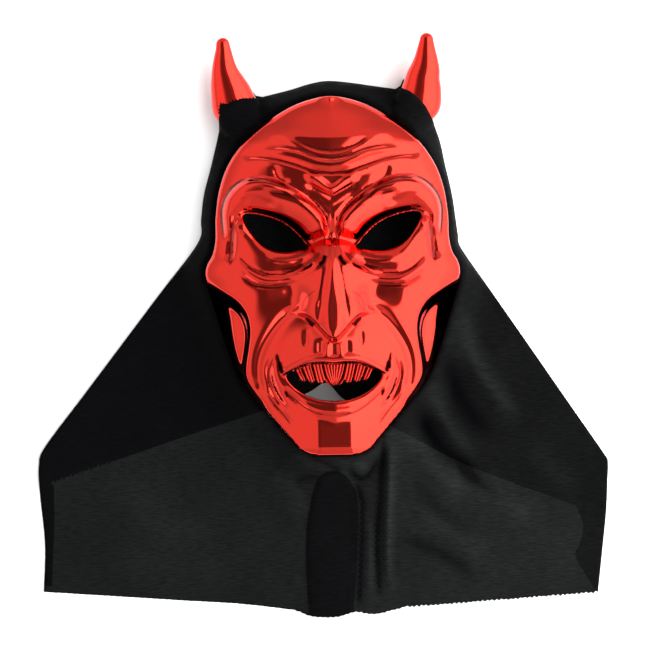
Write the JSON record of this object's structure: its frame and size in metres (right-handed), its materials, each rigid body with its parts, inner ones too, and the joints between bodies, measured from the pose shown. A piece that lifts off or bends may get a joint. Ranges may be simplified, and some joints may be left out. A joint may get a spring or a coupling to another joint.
{
  "type": "devil mask with hood",
  "caption": "Red horned devil face mask with open eyes and mouth, sewn into a black cloth hood with a short cape, lying face up",
  "frame": {"origin": "on the surface that the hood lies on, under the middle of the outline's length and width", "axes": "+Z out of the face, +Y towards the crown and horns, +X towards the right of a viewer who faces the mask"},
  "size_m": [0.4094, 0.4195, 0.0758],
  "materials": {
    "mask_plastic": "metallised red, mirror gloss",
    "horn_plastic": "metallised red, mirror gloss",
    "hood_cloth": "thin matte black knit"
  },
  "bodies": {
    "root": {"mask_shell": "mask_plastic", "horn_left": "horn_plastic", "horn_right": "horn_plastic", "hood": "hood_cloth"}
  },
  "joints": []
}
